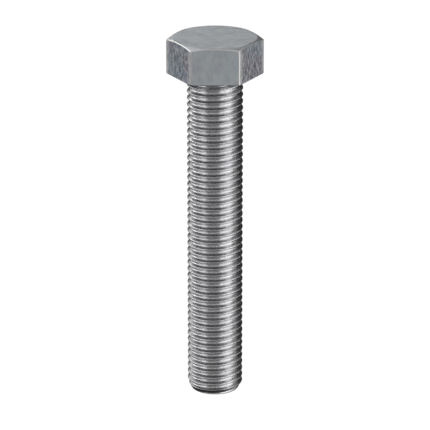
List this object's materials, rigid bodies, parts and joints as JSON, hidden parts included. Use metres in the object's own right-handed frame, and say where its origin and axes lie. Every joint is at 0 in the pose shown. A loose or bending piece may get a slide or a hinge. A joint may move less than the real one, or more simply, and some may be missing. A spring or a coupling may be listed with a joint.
{
  "type": "hex bolt",
  "caption": "Hexagon head bolt with a chamfered head, a right-hand metric thread along the whole shank and a chamfered point.",
  "frame": {"origin": "centre of the bearing face under the head", "axes": "+Z along the bolt's axis from the point to the head; two flats of the hexagon face -Y and +Y"},
  "size_m": [0.0346, 0.03, 0.1333],
  "materials": {
    "head_zinc": "dull mottled zinc over forged steel",
    "thread_zinc": "bright zinc over rolled steel"
  },
  "bodies": {
    "root": {"head": "head_zinc", "threaded_shank": "thread_zinc", "point": "thread_zinc"}
  },
  "joints": []
}
